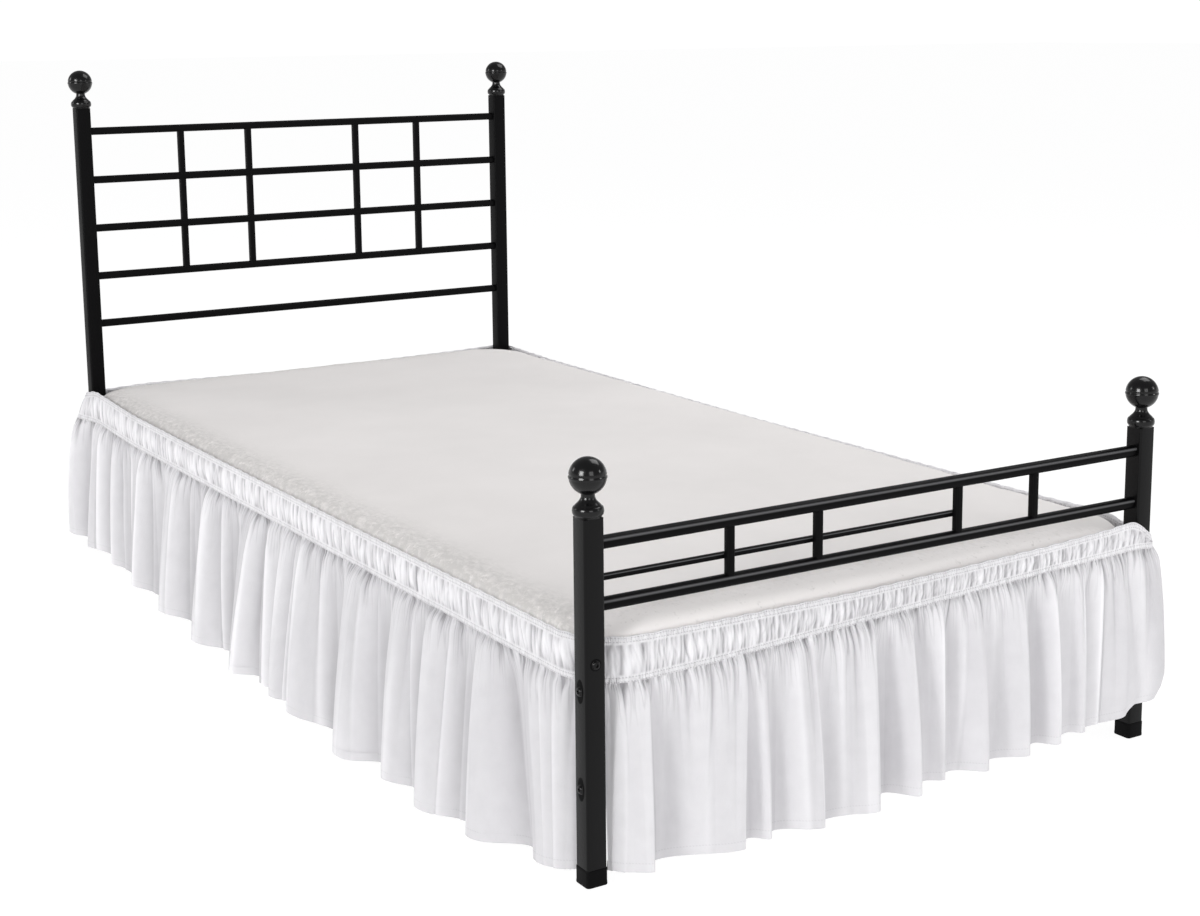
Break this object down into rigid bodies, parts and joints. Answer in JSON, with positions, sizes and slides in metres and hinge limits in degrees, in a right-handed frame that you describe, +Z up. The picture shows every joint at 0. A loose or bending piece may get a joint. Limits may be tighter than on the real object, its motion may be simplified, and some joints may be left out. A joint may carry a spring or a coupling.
{
  "type": "bed skirt on a metal bed frame with box base",
  "caption": "Gathered elastic bed skirt in white cloth, hanging in soft folds around the covered box base of a black metal bed with ball-topped posts.",
  "frame": {"origin": "on the floor, under the middle of the whole object's bounding box", "axes": "+Y runs along the bed from the foot to the head, +X to the right for someone who stands at the foot and faces the head, +Z up"},
  "size_m": [1.1978, 2.1884, 1.029],
  "materials": {
    "frame_paint": "satin black",
    "cap_plastic": "matt black",
    "bolt_metal": "satin black",
    "box_cover": "plain off-white cover cloth",
    "skirt_cloth": "soft brushed white polyester cloth"
  },
  "bodies": {
    "root": {"post_foot_left": "frame_paint", "foot_cap_foot_left": "cap_plastic", "finial_foot_left": "frame_paint", "post_foot_right": "frame_paint", "foot_cap_foot_right": "cap_plastic", "finial_foot_right": "frame_paint", "post_head_left": "frame_paint", "foot_cap_head_left": "cap_plastic", "finial_head_left": "frame_paint", "post_head_right": "frame_paint", "foot_cap_head_right": "cap_plastic", "finial_head_right": "frame_paint", "head_rail_1": "frame_paint", "head_rail_2": "frame_paint", "head_rail_3": "frame_paint", "head_rail_4": "frame_paint", "head_rail_5": "frame_paint", "head_upright_1_1": "frame_paint", "head_upright_1_2": "frame_paint", "head_upright_1_3": "frame_paint", "head_upright_2_1": "frame_paint", "head_upright_2_2": "frame_paint", "head_upright_2_3": "frame_paint", "head_upright_3_1": "frame_paint", "head_upright_3_2": "frame_paint", "head_upright_3_3": "frame_paint", "head_upright_4_1": "frame_paint", "head_upright_4_2": "frame_paint", "head_upright_4_3": "frame_paint", "foot_rail_1": "frame_paint", "foot_rail_2": "frame_paint", "foot_upright_1_1": "frame_paint", "foot_upright_2_1": "frame_paint", "foot_upright_3_1": "frame_paint", "foot_upright_4_1": "frame_paint", "foot_thin_bar": "frame_paint", "side_rail_left": "frame_paint", "side_rail_right": "frame_paint", "slat_1": "frame_paint", "slat_2": "frame_paint", "slat_3": "frame_paint", "slat_4": "frame_paint", "slat_5": "frame_paint", "bolt_side_1": "bolt_metal", "bolt_side_2": "bolt_metal", "bolt_foot": "bolt_metal", "box_base": "box_cover", "skirt_band": "skirt_cloth", "skirt_ruffle": "skirt_cloth"}
  },
  "joints": []
}
